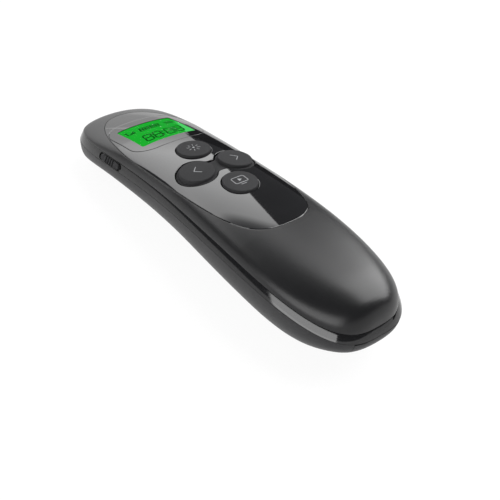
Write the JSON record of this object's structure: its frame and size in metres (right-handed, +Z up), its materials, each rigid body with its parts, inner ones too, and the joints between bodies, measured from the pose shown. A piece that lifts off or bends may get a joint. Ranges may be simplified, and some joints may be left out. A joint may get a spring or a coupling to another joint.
{
  "type": "wireless presentation clicker",
  "caption": "Handheld wireless clicker with a curved split case, display, round keys, side power slider, battery door and a USB receiver stored in the tail.",
  "frame": {"origin": "centre of the footprint at the level of the table", "axes": "+X to the nose (laser end), +Y to the left side with the power slider, +Z up out of the keys"},
  "size_m": [0.132, 0.0374, 0.0249],
  "materials": {
    "case_upper": "fine satin, dark charcoal",
    "case_lower": "fine satin, near black",
    "trim_gloss": "polished, near black",
    "panel_gloss": "piano black",
    "clear_lens": "clear polished",
    "display_glass": "green backlit display",
    "keys": "satin with pale printed icons",
    "inner_plastic": "moulded",
    "ribbon": "amber film",
    "circuit_board": "green solder mask",
    "spring_metal": "bright nickel",
    "brass": "turned",
    "gold": "gold flashed",
    "cell_jacket": "plain printed jacket"
  },
  "bodies": {
    "case": {"top_cover": "case_upper", "trim_ring": "trim_gloss", "bottom_cover": "case_lower", "front_panel": "panel_gloss", "display_lens": "clear_lens", "lcd_glass": "display_glass", "lcd_frame": "inner_plastic", "lcd_flex": "ribbon", "dome_switches": "spring_metal", "main_board": "circuit_board", "radio_module": "spring_metal", "controller_chip": "inner_plastic", "board_parts": "inner_plastic", "board_flex": "ribbon", "front_board": "circuit_board", "slide_switch": "spring_metal", "cell_carrier": "inner_plastic", "battery_left": "cell_jacket", "battery_right": "cell_jacket", "leaf_contacts": "spring_metal", "bridge_contact": "spring_metal", "case_screws": "spring_metal", "laser_barrel": "brass", "laser_lens": "clear_lens", "laser_board": "circuit_board", "laser_window": "clear_lens"},
    "laser_key": {"laser_button": "keys"},
    "screen_key": {"screen_button": "keys"},
    "rocker": {"page_rocker": "keys"},
    "slider": {"power_slider": "trim_gloss", "switch_lever": "inner_plastic"},
    "door": {"battery_door": "case_lower"},
    "receiver": {"receiver_cap": "case_lower", "receiver_plug_shell": "spring_metal", "receiver_tongue": "inner_plastic", "receiver_pins": "gold", "receiver_board": "circuit_board"}
  },
  "joints": [
    {"name": "laser_press", "type": "slide", "parent": "case", "child": "laser_key", "axis": [-0.1002, 0, -0.995], "range_m": [0, 0.0005], "stiffness_N_per_m": 600, "springref_m": -0.001},
    {"name": "screen_press", "type": "slide", "parent": "case", "child": "screen_key", "axis": [-0.0112, 0, -0.9999], "range_m": [0, 0.0005], "stiffness_N_per_m": 600, "springref_m": -0.001},
    {"name": "page_rock", "type": "hinge", "parent": "case", "child": "rocker", "pos_m": [0.00433, 0, 0.02058], "axis": [0.9986, 0, -0.0523], "range_deg": [-3, 3], "stiffness_Nm_per_rad": 0.06},
    {"name": "power_slide", "type": "slide", "parent": "case", "child": "slider", "axis": [0.9942, 0.018, -0.1058], "range_m": [-0.001, 0.001]},
    {"name": "door_swing", "type": "hinge", "parent": "case", "child": "door", "pos_m": [-0.0376, 0, 0], "axis": [0, 1, 0], "range_deg": [0, 40]},
    {"name": "receiver_pull", "type": "slide", "parent": "case", "child": "receiver", "axis": [-1, 0, 0], "range_m": [0, 0.024]}
  ]
}
